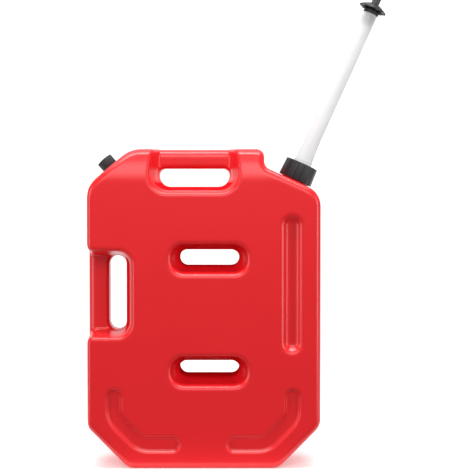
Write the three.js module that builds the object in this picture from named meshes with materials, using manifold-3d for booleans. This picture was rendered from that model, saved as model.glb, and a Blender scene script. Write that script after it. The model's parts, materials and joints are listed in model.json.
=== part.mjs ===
// Flat upright fuel can: a one-piece hollow moulding with two carrying grips and two bracket slots,
// a screwed pour neck with a long translucent spout and its stopper, and a screwed vent cap.
// Millimetres, +Z up, +X towards the pour neck, front face at -Y. The origin is the centre of the
// flat base.
import * as THREE from 'three';
import { mergeVertices } from 'three/addons/utils/BufferGeometryUtils.js';
import Module from 'manifold-3d';

const wasm = await Module();
wasm.setup();

// ---- Driving dimensions: the body --------------------------------------------------------------
const bodyWidth = 440;
const bodyHeight = 600;
const bodyDepth = 150;
const wall = 3.6;
const edgeRound = 13; // rounding between the big faces and the rim
const baseChamfer = 79;
const baseCornerRound = 30;
const ventChamferWidth = 82; // the sloping top left corner, along X and along Z
const ventChamferHeight = 72;
const ventCornerRound = 55;
const stepFromSide = 105.5; // the low ledge of the pour neck starts this far from the right side
const stepDrop = 34;
const stepTopRound = 15;
const stepFootRound = 16;
const ledgeCornerRound = 40;
const neckTilt = THREE.MathUtils.degToRad(24.5); // ledge slope, and the spout's lean
const shoulderHeight = 41; // the faces lean inwards over this much of the top
const shoulderSetback = 17;
const shoulderBendRound = 60;

// ---- Driving dimensions: grips, slots and grooves ------------------------------------------------
const rimRound = 3; // rounding where a hollow meets a big face
const gripDepth = 44; // front to back, of both grips
const gripRound = 15;
const gripHoleFlare = 6;
const topGrip = { centre: -18, length: 134, bar: 36, gap: 34.5, upper: 11, lower: 21 };
const sideGrip = { centre: 327.8, length: 141.5, bar: 39, gap: 33 }; // its centre is above the base
const topRecess = { sideMargin: 18, foot: 12, round: 36 };
const sideRecess = { endMargin: 10, inner: 14.5, round: 28 };
const slotCentreX = 10.5;
const lowerSlotHeight = 184;
const upperSlotDrop = 205.5; // its centre, below the top
const slotWidth = 114;
const slotHeight = 31;
const slotThroat = 80; // straight length of a slot, front to back
const slotFunnel = { side: 15.5, over: 12, under: 15.5 }; // how far the mouth stands out past the slot
const slotMouthRound = 25;
const ribFromSide = 54; // upright groove on the right
const ribBottom = 217;
const ribDrop = 124; // its upper end, below the top
const ribWidth = 39;
const ribDepth = 11;
const ribFloorWidth = 16;
const cornerGrooveFromSide = 52.5;
const cornerGrooveZ = 46;
const cornerGrooveTop = 149.5;
const cornerGrooveEnd = 43; // where its level leg stops, from the middle
const cornerGrooveSlant = 50;
const cornerGrooveWidth = 31;
const cornerGrooveDepth = 6;
const cornerGrooveFloor = 20;

// ---- Driving dimensions: pour neck, ring nut, spout and stopper ----------------------------------
const neckFromStep = 64; // along the ledge
const neckRoot = 25.4;
const neckWall = 4.9;
const neckHeight = 28;
const neckPitch = 6;
const neckThreadStart = 10;
const neckThreadTurns = 2.3;
const neckThreadRise = 2;
const threadGap = 0.8; // radial play between the threads
const faceGap = 0.3; // between pieces that sit on each other
const gasketThickness = 2;
const flangeThickness = 3;
const nutWall = 5;
const nutBaseGap = 4;
const nutTopThickness = 4;
const nutFlats = 16;
const nutGroove = 1.4;
const nutTaper = 1.6; // how much narrower the nut is at its top, on the radius
const spoutBaseRadius = 17.4;
const spoutRadius = 14.4;
const spoutTipRadius = 13.9;
const spoutWall = 2;
const spoutTaper = 52; // length over which the base narrows
const spoutReach = 315; // from the nut to the tip
const spoutHoleGap = 0.6;
const stopperPlugGap = 1.3;
const stopperPlugLength = 20;
const stopperWheelRadius = 25.5;
const stopperWheelHeight = 12;
const stopperWheelShell = 2.6;
const stopperLobes = 8;
const stopperLobeRise = 1.5;
const stopperCollarHeight = 8;
const stopperCollarLip = 0.3; // how far the collar stands out past the tip
const stopperStemRadius = 7.6;
const stopperStemHeight = 24;
const stopperRibThickness = 1.8;
const sealRadius = 1.6; // half the thickness of the stopper's ring seal
const sealGap = 0.15;

// ---- Driving dimensions: vent neck and cap -------------------------------------------------------
const ventAlong = 56.5; // along the slope from its lower corner
const ventRoot = 10.6;
const ventWall = 3.6;
const ventHeight = 18;
const ventPitch = 3;
const ventThreadStart = 7.5;
const ventThreadTurns = 2.4;
const ventThreadRise = 1.2;
const ventThreadGap = 0.6;
const ventSealThickness = 2;
const ventCapWall = 3.4;
const ventCapBaseGap = 4.5;
const ventCapTop = 3;
const ventCapDome = 1.6;
const ventCapFlutes = 24;
const ventCapFlute = 0.5;

// ---- Fineness --------------------------------------------------------------------------------------
const cornerSteps = 4;
const edgeSteps = 3;
const roundSides = 40;
const threadSides = 24; // per turn
const overlap = 0.5; // joined solids are sunk into each other by this much
const sharpRound = 0.4;

// ---- Driving dimensions: where the moulding is divided --------------------------------------------
const seamY = 1; // the mould's seam, a little behind the middle plane
const zoneMargin = 8; // past a grip's recess or a slot's mouth
const zoneGap = 0.3;
const neckZoneDepth = 6; // a neck takes the wall under it along
const neckZoneMargin = 2;

// ---- Materials -------------------------------------------------------------------------------------
const redPolyethylene = new THREE.MeshStandardMaterial({ color: 0xd8272d, roughness: 0.42, metalness: 0 });
const blackPolypropylene = new THREE.MeshStandardMaterial({ color: 0x2a292a, roughness: 0.5, metalness: 0 });
const naturalPolyethylene = new THREE.MeshStandardMaterial({
  color: 0xf0efed, roughness: 0.35, metalness: 0, transparent: true, opacity: 0.6,
});
const sealRubber = new THREE.MeshStandardMaterial({ color: 0x1d1d1d, roughness: 0.8, metalness: 0 });

// ---- Outlines --------------------------------------------------------------------------------------

// A closed outline with each corner rounded. corners are [x, y, radius], anticlockwise, and offset
// moves every side outwards.
function roundedOutline(corners, offset = 0) {
  const count = corners.length;
  const point = (i) => new THREE.Vector2(...corners[(i + count) % count]);
  const points = [];
  for (let i = 0; i < count; i += 1) {
    const before = point(i).sub(point(i - 1)).normalize();
    const after = point(i + 1).sub(point(i)).normalize();
    const turn = Math.atan2(before.cross(after), before.dot(after));
    const half = Math.tan(turn / 2);
    const outward = new THREE.Vector2(before.y, -before.x);
    const corner = point(i).addScaledVector(outward, offset).addScaledVector(before, offset * half);
    const radius = Math.max(corners[i][2] + offset * Math.sign(turn), sharpRound);
    const start = corner.clone().addScaledVector(before, -radius * Math.abs(half));
    const centre = start.clone().addScaledVector(outward, -radius * Math.sign(turn));
    for (let k = 0; k <= cornerSteps; k += 1) {
      points.push(start.clone().rotateAround(centre, (turn * k) / cornerSteps));
    }
  }
  return points;
}

function boxCorners(left, right, low, high, radius) {
  return [[left, low, radius], [right, low, radius], [right, high, radius], [left, high, radius]];
}

// The corners of a channel of even width that follows a path of [x, y] points, with round ends.
function channelCorners(path, width, bendRadius) {
  const half = width / 2;
  const last = path.length - 1;
  const points = path.map(([x, y]) => new THREE.Vector2(x, y));
  const right = [];
  const left = [];
  points.forEach((point, i) => {
    const before = points[Math.max(i, 1)].clone().sub(points[Math.max(i, 1) - 1]).normalize();
    const after = points[Math.min(i, last - 1) + 1].clone().sub(points[Math.min(i, last - 1)]).normalize();
    const turn = Math.atan2(before.cross(after), before.dot(after));
    const shift = half * Math.tan(turn / 2);
    const side = new THREE.Vector2(before.y, -before.x);
    const isEnd = i === 0 || i === last;
    const outer = isEnd ? half * 0.98 : bendRadius + half * Math.sign(turn);
    const inner = isEnd ? half * 0.98 : bendRadius - half * Math.sign(turn);
    const a = point.clone().addScaledVector(side, half).addScaledVector(before, shift);
    const b = point.clone().addScaledVector(side, -half).addScaledVector(before, -shift);
    right.push([a.x, a.y, outer]);
    left.unshift([b.x, b.y, inner]);
  });
  return [...right, ...left];
}

// ---- Solids ----------------------------------------------------------------------------------------

// Stacks outlines of equal point counts along +Z and closes both ends.
function loft(sections) {
  const count = sections[0].points.length;
  const positions = sections.flatMap(({ points, z }) => points.flatMap((p) => [p.x, p.y, z]));
  const indices = [];
  const cap = (section, first, flip) => {
    THREE.ShapeUtils.triangulateShape(section.points, []).forEach(([a, b, c]) => {
      indices.push(first + a, first + (flip ? c : b), first + (flip ? b : c));
    });
  };
  cap(sections[0], 0, true);
  cap(sections.at(-1), (sections.length - 1) * count, false);
  for (let k = 0; k < sections.length - 1; k += 1) {
    for (let i = 0; i < count; i += 1) {
      const a = k * count + i;
      const b = k * count + ((i + 1) % count);
      indices.push(a, b, b + count, a, b + count, a + count);
    }
  }
  const geometry = new THREE.BufferGeometry();
  geometry.setAttribute('position', new THREE.Float32BufferAttribute(positions, 3));
  geometry.setIndex(indices);
  return geometry;
}

// An outline drawn in X and Z, stacked along Y. The sections' z is the distance in front of the
// middle plane.
const frontLoft = (sections) => loft(sections).rotateX(Math.PI / 2);

// An outline drawn in Y and Z, stacked along X.
const sideLoft = (sections) => loft(sections).rotateX(Math.PI / 2).rotateZ(Math.PI / 2);

function solid(geometry) {
  geometry.deleteAttribute('normal');
  geometry.deleteAttribute('uv');
  const merged = mergeVertices(geometry, 1e-4);
  return new wasm.Manifold(new wasm.Mesh({
    numProp: 3,
    vertProperties: new Float32Array(merged.getAttribute('position').array),
    triVerts: new Uint32Array(merged.getIndex().array),
  }));
}

const joined = (solids) => solids.reduce((all, one) => all.add(one));

function piece(name, body, material) {
  const { vertProperties, triVerts } = body.getMesh();
  const geometry = new THREE.BufferGeometry();
  geometry.setAttribute('position', new THREE.Float32BufferAttribute(vertProperties, 3));
  geometry.setIndex([...triVerts]);
  geometry.computeVertexNormals();
  const mesh = new THREE.Mesh(geometry, material);
  mesh.name = name;
  return mesh;
}

// A profile of [radius, height] points turned about Z. It is written anticlockwise, with the radius
// to the right, and starts and ends on the axis or is closed by its first point.
function turned(profile, sides = roundSides) {
  const loop = profile[0][0] === 0 ? profile : [...profile, profile[0]];
  const points = loop.map(([r, z]) => new THREE.Vector2(r, z));
  return solid(new THREE.LatheGeometry(points, sides).rotateX(Math.PI / 2));
}

const disc = (radius, low, high) => turned([[0, low], [radius, low], [radius, high], [0, high]]);

const ringOf = (inner, outer, low, high) => turned([[inner, low], [outer, low], [outer, high], [inner, high]]);

// A right-handed ridge of trapezium section. foot is the radius where it leaves its wall and tip is
// its crest, which is the smaller of the two on an inside thread.
function threadRidge(foot, tip, pitch, start, turns) {
  const footHalf = pitch * 0.25;
  const tipHalf = pitch * 0.12;
  const steps = Math.round(turns * threadSides);
  const sunk = foot - overlap * Math.sign(tip - foot);
  const corners = tip > foot
    ? [[sunk, -footHalf], [tip, -tipHalf], [tip, tipHalf], [sunk, footHalf]]
    : [[sunk, footHalf], [tip, tipHalf], [tip, -tipHalf], [sunk, -footHalf]];
  const positions = [];
  const indices = [0, 1, 2, 0, 2, 3];
  for (let k = 0; k <= steps; k += 1) {
    const angle = (k / threadSides) * 2 * Math.PI;
    const rise = start + (pitch * k) / threadSides;
    corners.forEach(([r, z]) => positions.push(r * Math.cos(angle), r * Math.sin(angle), rise + z));
  }
  for (let k = 0; k < steps; k += 1) {
    for (let i = 0; i < 4; i += 1) {
      const a = k * 4 + i;
      const b = k * 4 + ((i + 1) % 4);
      indices.push(a, a + 4, b + 4, a, b + 4, b);
    }
  }
  const end = steps * 4;
  indices.push(end, end + 2, end + 1, end, end + 3, end + 2);
  const geometry = new THREE.BufferGeometry();
  geometry.setAttribute('position', new THREE.Float32BufferAttribute(positions, 3));
  geometry.setIndex(indices);
  return solid(geometry);
}

// ---- Places and fits worked out from the driving dimensions ----------------------------------------
const halfWidth = bodyWidth / 2;
const halfDepth = bodyDepth / 2;
const stepX = halfWidth - stepFromSide;
const ledgeTop = bodyHeight - stepDrop;
const ledgeEnd = ledgeTop - stepFromSide * Math.tan(neckTilt);
const ventTilt = Math.atan2(ventChamferHeight, ventChamferWidth);
const ribX = halfWidth - ribFromSide;
const ribTop = bodyHeight - ribDrop;
const cornerGrooveX = halfWidth - cornerGrooveFromSide;
const slotHeights = [lowerSlotHeight, bodyHeight - upperSlotDrop];
const neckBore = neckRoot - neckWall;
const ventBore = ventRoot - ventWall;
const neckPlace = new THREE.Vector3(
  stepX + neckFromStep * Math.cos(neckTilt), 0, ledgeTop - neckFromStep * Math.sin(neckTilt),
);
const ventPlace = new THREE.Vector3(
  -halfWidth + ventAlong * Math.cos(ventTilt), 0, bodyHeight - ventChamferHeight + ventAlong * Math.sin(ventTilt),
);
const toNeck = new THREE.Matrix4().makeRotationY(neckTilt).setPosition(neckPlace);
const toVent = new THREE.Matrix4().makeRotationY(-ventTilt).setPosition(ventPlace);
const moved = (body, matrix) => body.transform(matrix.elements);

// ---- The body --------------------------------------------------------------------------------------

// The block that everything is cut from. inset moves its whole surface inwards.
function bodyBlock(inset) {
  const front = [
    [-halfWidth + baseChamfer, 0, baseCornerRound],
    [halfWidth - baseChamfer, 0, baseCornerRound],
    [halfWidth, baseChamfer, baseCornerRound],
    [halfWidth, ledgeEnd, ledgeCornerRound],
    [stepX, ledgeTop, stepFootRound],
    [stepX, bodyHeight, stepTopRound],
    [-halfWidth + ventChamferWidth, bodyHeight, ventCornerRound],
    [-halfWidth, bodyHeight - ventChamferHeight, ventCornerRound],
    [-halfWidth, baseChamfer, baseCornerRound],
  ];
  const round = edgeRound - inset;
  const sections = [];
  for (let k = 0; k <= edgeSteps; k += 1) {
    const angle = (k / edgeSteps) * (Math.PI / 2);
    const rise = halfDepth - inset - round * (1 - Math.cos(angle));
    sections.push({ points: roundedOutline(front, -inset - round * (1 - Math.sin(angle))), z: rise });
  }
  const mirrored = sections.map(({ points, z }) => ({ points, z: -z }));
  const plate = solid(frontLoft([...mirrored, ...sections.reverse()]));
  const bend = bodyHeight - shoulderHeight;
  const section = roundedOutline([
    [-halfDepth, 0, edgeRound],
    [halfDepth, 0, edgeRound],
    [halfDepth, bend, shoulderBendRound],
    [halfDepth - shoulderSetback, bodyHeight, edgeRound],
    [-halfDepth + shoulderSetback, bodyHeight, edgeRound],
    [-halfDepth, bend, shoulderBendRound],
  ], -inset);
  return plate.intersect(solid(sideLoft([
    { points: section, z: -halfWidth },
    { points: section, z: halfWidth },
  ])));
}

// A hollow that runs from both big faces down to a narrower throat and right through.
function throughHollow(mouth, throat, throatHalf, grow) {
  const side = [
    { points: roundedOutline(throat, grow), z: throatHalf },
    { points: roundedOutline(mouth, grow), z: halfDepth - rimRound },
    { points: roundedOutline(mouth, grow + rimRound), z: halfDepth + overlap },
  ];
  const back = side.map(({ points, z }) => ({ points, z: -z })).reverse();
  return solid(frontLoft([...back, ...side]));
}

// A blind groove, the same on both big faces.
function facePair(mouth, floorInset, depth, grow) {
  const front = [
    { points: roundedOutline(mouth, grow - floorInset), z: halfDepth - depth - grow },
    { points: roundedOutline(mouth, grow), z: halfDepth - rimRound / 2 },
    { points: roundedOutline(mouth, grow + rimRound / 2), z: halfDepth + overlap },
  ];
  const back = front.map(({ points, z }) => ({ points, z: -z })).reverse();
  return [solid(frontLoft(front)), solid(frontLoft(back))];
}

// A grip is a rounded slab across an open hollow, with a finger hole through it.
function gripSlab(corners, hole, inset) {
  const half = gripDepth / 2 - inset;
  const round = gripRound - inset;
  const slab = [];
  for (let k = 0; k <= edgeSteps; k += 1) {
    const angle = (k / edgeSteps) * (Math.PI / 2);
    const points = roundedOutline(corners, -inset - round * (1 - Math.sin(angle)));
    slab.push({ points, z: half - round * (1 - Math.cos(angle)) });
  }
  const slabBack = slab.map(({ points, z }) => ({ points, z: -z }));
  const flare = [
    { points: roundedOutline(hole, inset), z: gripDepth / 2 - gripHoleFlare },
    { points: roundedOutline(hole, inset + gripHoleFlare), z: gripDepth / 2 + overlap },
  ];
  const flareBack = flare.map(({ points, z }) => ({ points, z: -z })).reverse();
  return solid(frontLoft([...slabBack, ...slab.reverse()])).subtract(solid(frontLoft([...flareBack, ...flare])));
}

// The parts of the top grip: the hollow open at the top, the slab, and the finger hole.
function topGripShapes() {
  const left = topGrip.centre - topGrip.length / 2;
  const right = topGrip.centre + topGrip.length / 2;
  const holeTop = bodyHeight - topGrip.bar;
  const holeLow = holeTop - topGrip.gap;
  const open = bodyHeight + bodyDepth;
  const margin = topRecess.sideMargin;
  const bedded = gripRound + gripHoleFlare;
  return {
    mouth: [
      [left - margin, holeLow - topRecess.foot, topRecess.round],
      [right + margin, holeLow - topRecess.foot, topRecess.round],
      [right + margin, open, sharpRound], [left - margin, open, sharpRound],
    ],
    throat: [
      [left, holeLow, topGrip.lower], [right, holeLow, topGrip.lower],
      [right, open, sharpRound], [left, open, sharpRound],
    ],
    slab: boxCorners(left - bedded, right + bedded, holeLow - bedded, bodyHeight, gripRound),
    hole: [
      [left, holeLow, topGrip.lower], [right, holeLow, topGrip.lower],
      [right, holeTop, topGrip.upper], [left, holeTop, topGrip.upper],
    ],
  };
}

// The same for the grip on the left side, whose hollow is open to the side.
function sideGripShapes() {
  const low = sideGrip.centre - sideGrip.length / 2;
  const high = sideGrip.centre + sideGrip.length / 2;
  const holeLeft = -halfWidth + sideGrip.bar;
  const holeRight = holeLeft + sideGrip.gap;
  const open = -halfWidth - bodyDepth;
  const margin = sideRecess.endMargin;
  const endRound = sideGrip.gap * 0.49;
  const bedded = gripRound + gripHoleFlare;
  return {
    mouth: [
      [open, low - margin, sharpRound], [holeRight + sideRecess.inner, low - margin, sideRecess.round],
      [holeRight + sideRecess.inner, high + margin, sideRecess.round], [open, high + margin, sharpRound],
    ],
    throat: [
      [open, low, sharpRound], [holeRight, low, endRound], [holeRight, high, endRound], [open, high, sharpRound],
    ],
    slab: boxCorners(-halfWidth, holeRight + bedded, low - bedded, high + bedded, gripRound),
    hole: boxCorners(holeLeft, holeRight, low, high, endRound),
  };
}

// The whole body as a filled solid. With an inset it is the space inside the walls.
function bodySolid(inset) {
  let body = bodyBlock(inset);
  [topGripShapes(), sideGripShapes()].forEach(({ mouth, throat, slab, hole }) => {
    body = body.subtract(throughHollow(mouth, throat, gripDepth / 2, inset));
    body = body.add(gripSlab(slab, hole, inset).intersect(bodyBlock(inset)));
  });
  slotHeights.forEach((height) => {
    const left = slotCentreX - slotWidth / 2;
    const low = height - slotHeight / 2;
    const throat = boxCorners(left, left + slotWidth, low, low + slotHeight, slotHeight * 0.49);
    const mouth = boxCorners(
      left - slotFunnel.side, left + slotWidth + slotFunnel.side,
      low - slotFunnel.under, low + slotHeight + slotFunnel.over, slotMouthRound,
    );
    body = body.subtract(throughHollow(mouth, throat, slotThroat / 2, inset));
  });
  const rib = channelCorners([[ribX, ribBottom], [ribX, ribTop]], ribWidth, ribWidth);
  const grooves = facePair(rib, (ribWidth - ribFloorWidth) / 2, ribDepth, inset);
  [-1, 1].forEach((side) => {
    const path = [
      [side * cornerGrooveX, cornerGrooveTop],
      [side * cornerGrooveX, cornerGrooveZ + cornerGrooveSlant],
      [side * (cornerGrooveX - cornerGrooveSlant), cornerGrooveZ],
      [side * cornerGrooveEnd, cornerGrooveZ],
    ];
    const channel = channelCorners(path, cornerGrooveWidth, cornerGrooveWidth);
    grooves.push(...facePair(channel, (cornerGrooveWidth - cornerGrooveFloor) / 2, cornerGrooveDepth, inset));
  });
  return grooves.reduce((cut, groove) => cut.subtract(groove), body);
}

function threadedNeck(root, height, ridge) {
  const sunk = edgeRound;
  const lip = ridge.rise / 2;
  return turned([
    [0, -sunk], [root, -sunk], [root, height - lip], [root - lip, height], [0, height],
  ]).add(threadRidge(root, root + ridge.rise, ridge.pitch, ridge.start, ridge.turns));
}

function tankBody() {
  const pour = { rise: neckThreadRise, pitch: neckPitch, start: neckThreadStart, turns: neckThreadTurns };
  const vent = { rise: ventThreadRise, pitch: ventPitch, start: ventThreadStart, turns: ventThreadTurns };
  const boreDepth = wall * 3;
  return bodySolid(0)
    .add(moved(threadedNeck(neckRoot, neckHeight, pour), toNeck))
    .add(moved(threadedNeck(ventRoot, ventHeight, vent), toVent))
    .subtract(bodySolid(wall))
    .subtract(moved(disc(neckBore, -boreDepth, neckHeight + overlap), toNeck))
    .subtract(moved(disc(ventBore, -boreDepth, ventHeight + overlap), toVent));
}

// A block over the whole depth of the can, as a function of how far its faces move outwards.
function zoneBlock(left, right, low, high) {
  return (offset) => {
    const block = new THREE.BoxGeometry(right - left + 2 * offset, 2 * bodyDepth, high - low + 2 * offset);
    return solid(block.translate((left + right) / 2, 0, (low + high) / 2));
  };
}

function slotZone(height) {
  const reach = slotWidth / 2 + slotFunnel.side + zoneMargin;
  const low = height - slotHeight / 2 - slotFunnel.under - zoneMargin;
  const high = height + slotHeight / 2 + slotFunnel.over + zoneMargin;
  return zoneBlock(slotCentreX - reach, slotCentreX + reach, low, high);
}

function neckZone(root, ridgeRise, height, place) {
  return (offset) => {
    const radius = root + ridgeRise + neckZoneMargin + offset;
    return moved(disc(radius, -neckZoneDepth, height + neckZoneMargin), place);
  };
}

// The moulding is one piece in use. It is divided at the mould's seam and round its grips, slots and
// necks, so that each zone is a simple open shape, and its zones never move apart.
function tankZones() {
  const topReach = topGrip.length / 2 + topRecess.sideMargin + zoneMargin;
  const topLow = bodyHeight - topGrip.bar - topGrip.gap - topRecess.foot - zoneMargin;
  const sideInner = sideGrip.bar + sideGrip.gap + sideRecess.inner + zoneMargin - halfWidth;
  const sideReach = sideGrip.length / 2 + sideRecess.endMargin + zoneMargin;
  const zones = {
    top_grip: zoneBlock(
      topGrip.centre - topReach, topGrip.centre + topReach, topLow, bodyHeight + zoneMargin,
    ),
    side_grip: zoneBlock(
      -halfWidth - zoneMargin, sideInner, sideGrip.centre - sideReach, sideGrip.centre + sideReach,
    ),
    lower_slot: slotZone(slotHeights[0]),
    upper_slot: slotZone(slotHeights[1]),
    pour_neck: neckZone(neckRoot, neckThreadRise, neckHeight, toNeck),
    vent_neck: neckZone(ventRoot, ventThreadRise, ventHeight, toVent),
  };
  const shell = tankBody();
  const parts = Object.entries(zones).map(([name, zone]) => [name, shell.intersect(zone(-zoneGap / 2))]);
  const rest = Object.values(zones).reduce((left, zone) => left.subtract(zone(zoneGap / 2)), shell);
  const front = rest.trimByPlane([0, -1, 0], -seamY);
  const back = rest.trimByPlane([0, 1, 0], seamY + zoneGap);
  return [['tank_front', front], ['tank_back', back], ...parts];
}

// ---- The pour spout, in the neck's own frame -------------------------------------------------------
const gasketLow = neckHeight + faceGap;
const flangeLow = gasketLow + gasketThickness + faceGap;
const nutInnerTop = flangeLow + flangeThickness + faceGap;
const nutTop = nutInnerTop + nutTopThickness;
const nutCrest = neckRoot + threadGap;
const nutRoot = neckRoot + neckThreadRise + threadGap;
const nutRadius = nutRoot + nutWall;
const flangeRadius = nutCrest - threadGap;
const spoutTip = nutTop + spoutReach;
const spoutTipBore = spoutTipRadius - spoutWall;
const stopperCollarRadius = spoutTipRadius + stopperCollarLip;

function pourGasket() {
  return ringOf(neckBore + overlap, flangeRadius, gasketLow, gasketLow + gasketThickness);
}

// Broad flats with narrow upright grooves between them.
function nutOutline(offset) {
  const points = [];
  const sector = (2 * Math.PI) / nutFlats;
  const grooveShare = [0, 0.07, 0.14, 0.57];
  for (let i = 0; i < nutFlats; i += 1) {
    grooveShare.forEach((share, k) => {
      const radius = nutRadius + offset - (k === 1 ? nutGroove : 0);
      const angle = (i + share) * sector;
      points.push(new THREE.Vector2(radius * Math.cos(angle), radius * Math.sin(angle)));
    });
  }
  return points;
}

function ringNut() {
  const edge = 1.2;
  const outside = solid(loft([
    { points: nutOutline(-edge / 2), z: nutBaseGap },
    { points: nutOutline(0), z: nutBaseGap + edge },
    { points: nutOutline(-nutTaper), z: nutTop - edge },
    { points: nutOutline(-nutTaper - edge), z: nutTop },
  ]));
  const threadTop = neckThreadStart + neckPitch * 1.5;
  return outside
    .subtract(disc(nutRoot, nutBaseGap - overlap, nutInnerTop))
    .subtract(disc(spoutBaseRadius + spoutHoleGap, nutInnerTop - overlap, nutTop + overlap))
    .add(threadRidge(nutRoot, nutCrest, neckPitch, threadTop - neckPitch * 2, 2));
}

function spoutTube() {
  const low = flangeLow;
  const high = flangeLow + flangeThickness;
  const taperEnd = nutTop + spoutTaper;
  const baseBore = spoutBaseRadius - spoutWall;
  const bead = 0.5;
  const beadAt = nutTop + 6;
  return turned([
    [baseBore, low], [flangeRadius, low], [flangeRadius, high], [spoutBaseRadius, high],
    [spoutBaseRadius, nutTop + 3], [spoutBaseRadius + bead, beadAt - 1], [spoutBaseRadius + bead, beadAt],
    [spoutBaseRadius - bead, beadAt + 1], [spoutRadius, taperEnd], [spoutTipRadius, spoutTip - 1],
    [spoutTipRadius - 0.6, spoutTip], [spoutTipBore, spoutTip], [spoutRadius - spoutWall, taperEnd],
    [baseBore, nutTop],
  ]);
}

// ---- The stopper in the spout's tip ----------------------------------------------------------------
const collarLow = spoutTip + faceGap;
const wheelLow = collarLow + stopperCollarHeight;
const plugRadius = spoutTipBore - stopperPlugGap;
const sealHeight = spoutTip - stopperPlugLength * 0.45;
const grooveBed = spoutTipBore - sealGap - 2 * sealRadius;

function lobedOutline(radius, rise) {
  const count = stopperLobes * 6;
  return Array.from({ length: count }, (unused, i) => {
    const angle = (i / count) * 2 * Math.PI;
    const r = radius + rise * Math.cos(stopperLobes * angle);
    return new THREE.Vector2(r * Math.cos(angle), r * Math.sin(angle));
  });
}

// A shallow lobed dome, open underneath.
function wheelDome(thickness) {
  const radius = stopperWheelRadius - thickness;
  const height = stopperWheelHeight - thickness;
  const share = [[1, 0, 1], [1, 0.22, 1], [0.8, 0.6, 0.6], [0.52, 0.88, 0.25], [0.3, 1, 0]];
  return solid(loft(share.map(([across, up, lobe]) => ({
    points: lobedOutline(radius * across, stopperLobeRise * lobe), z: wheelLow + height * up,
  }))));
}

function stopperRibs() {
  const span = stopperWheelRadius - stopperWheelShell - stopperCollarRadius;
  return Array.from({ length: stopperLobes }, (unused, i) => {
    const rib = new THREE.BoxGeometry(span + 2, stopperRibThickness, stopperWheelHeight * 0.5);
    rib.translate(stopperCollarRadius + span / 2, 0, wheelLow + stopperWheelHeight * 0.35);
    return solid(rib.rotateZ(((i + 0.5) / stopperLobes) * 2 * Math.PI));
  });
}

function collarTeeth() {
  const teeth = stopperLobes * 2;
  return Array.from({ length: teeth }, (unused, i) => {
    const tooth = new THREE.BoxGeometry(2, 2.4, stopperCollarHeight);
    tooth.translate(stopperCollarRadius, 0, collarLow + stopperCollarHeight / 2);
    return solid(tooth.rotateZ((i / teeth) * 2 * Math.PI));
  });
}

function spoutStopper() {
  const tipLow = spoutTip - stopperPlugLength;
  const domeTop = wheelLow + stopperWheelHeight;
  const stemTop = domeTop + stopperStemHeight;
  const core = turned([
    [0, tipLow], [plugRadius - 2, tipLow], [plugRadius, tipLow + 2],
    [plugRadius, sealHeight - sealRadius - sealGap], [grooveBed - sealGap, sealHeight - sealRadius - sealGap],
    [grooveBed - sealGap, sealHeight + sealRadius + sealGap], [plugRadius, sealHeight + sealRadius + sealGap],
    [plugRadius, collarLow], [stopperCollarRadius, collarLow], [stopperCollarRadius, domeTop - 3],
    [stopperStemRadius, domeTop - 1], [stopperStemRadius, stemTop - 2], [stopperStemRadius - 2, stemTop],
    [0, stemTop],
  ]);
  const dome = wheelDome(0).subtract(wheelDome(stopperWheelShell));
  const ribs = joined(stopperRibs()).intersect(wheelDome(0));
  return joined([core, dome, ribs, ...collarTeeth()]);
}

function stopperSeal() {
  const sides = 8;
  const centre = spoutTipBore - sealGap - sealRadius;
  const section = Array.from({ length: sides }, (unused, i) => {
    const angle = (i / sides) * 2 * Math.PI;
    return [centre + sealRadius * Math.cos(angle), sealHeight + sealRadius * Math.sin(angle)];
  });
  return turned(section);
}

// ---- The vent cap, in the vent neck's own frame ----------------------------------------------------
const ventSealLow = ventHeight + faceGap;
const ventInnerTop = ventSealLow + ventSealThickness + faceGap;
const ventCrest = ventRoot + ventThreadGap;
const ventCapRoot = ventRoot + ventThreadRise + ventThreadGap;
const ventCapRadius = ventCapRoot + ventCapWall;

function ventSeal() {
  return disc(ventCrest - ventThreadGap / 2, ventSealLow, ventSealLow + ventSealThickness);
}

function fluteOutline(offset) {
  const count = ventCapFlutes * 2;
  return Array.from({ length: count }, (unused, i) => {
    const radius = ventCapRadius + offset - (i % 2) * ventCapFlute;
    const angle = (i / count) * 2 * Math.PI;
    return new THREE.Vector2(radius * Math.cos(angle), radius * Math.sin(angle));
  });
}

function ventCap() {
  const rim = ventInnerTop + ventCapTop;
  const threadTop = ventThreadStart + ventPitch * 1.5;
  const outside = solid(loft([
    { points: fluteOutline(0), z: ventCapBaseGap },
    { points: fluteOutline(0), z: rim - ventCapDome },
    { points: fluteOutline(-1), z: rim - ventCapDome / 2 },
    { points: fluteOutline(-ventCapRadius * 0.45), z: rim },
  ]));
  return outside
    .subtract(disc(ventCapRoot, ventCapBaseGap - overlap, ventInnerTop))
    .add(threadRidge(ventCapRoot, ventCrest, ventPitch, threadTop - ventPitch * 2, 2));
}

// ---- The can ---------------------------------------------------------------------------------------
const can = new THREE.Group();
tankZones().forEach(([name, zone]) => can.add(piece(name, zone, redPolyethylene)));

const pourGroup = new THREE.Group();
pourGroup.position.copy(neckPlace);
pourGroup.rotation.y = neckTilt;
pourGroup.add(
  piece('pour_gasket', pourGasket(), sealRubber),
  piece('spout_tube', spoutTube(), naturalPolyethylene),
  piece('ring_nut', ringNut(), blackPolypropylene),
  piece('spout_stopper', spoutStopper(), blackPolypropylene),
  piece('stopper_seal', stopperSeal(), sealRubber),
);
can.add(pourGroup);

const ventGroup = new THREE.Group();
ventGroup.position.copy(ventPlace);
ventGroup.rotation.y = -ventTilt;
ventGroup.add(
  piece('vent_seal', ventSeal(), sealRubber),
  piece('vent_cap', ventCap(), blackPolypropylene),
);
can.add(ventGroup);

export default can;
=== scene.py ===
import json
import math

import bpy
import numpy as np
from mathutils import Matrix, Vector


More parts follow.
